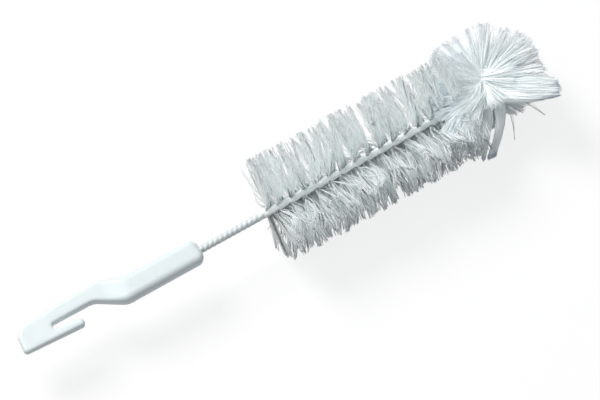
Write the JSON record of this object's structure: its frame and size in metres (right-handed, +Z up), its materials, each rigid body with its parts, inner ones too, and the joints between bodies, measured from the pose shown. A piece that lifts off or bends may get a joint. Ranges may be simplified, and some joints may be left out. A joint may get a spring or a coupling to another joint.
{
  "type": "bottle brush",
  "caption": "Bottle brush with bristles held in a twisted wire, a round tuft at its tip, and a flat moulded handle that ends in an open hook.",
  "frame": {"origin": "on the surface that the brush lies on, under the middle of its overall length and width", "axes": "+X along the wire from the handle towards the tip tuft, +Z up, +Y towards the side that the handle's arm steps to"},
  "size_m": [0.309, 0.0674, 0.0568],
  "materials": {
    "handle_plastic": "glossy moulded white plastic",
    "coated_wire": "satin white coating",
    "body_nylon": "translucent white nylon filament",
    "tip_nylon": "fine white nylon filament"
  },
  "bodies": {
    "root": {"handle": "handle_plastic", "twisted_wire": "coated_wire", "body_bristles": "body_nylon", "tip_bristles": "tip_nylon"}
  },
  "joints": []
}
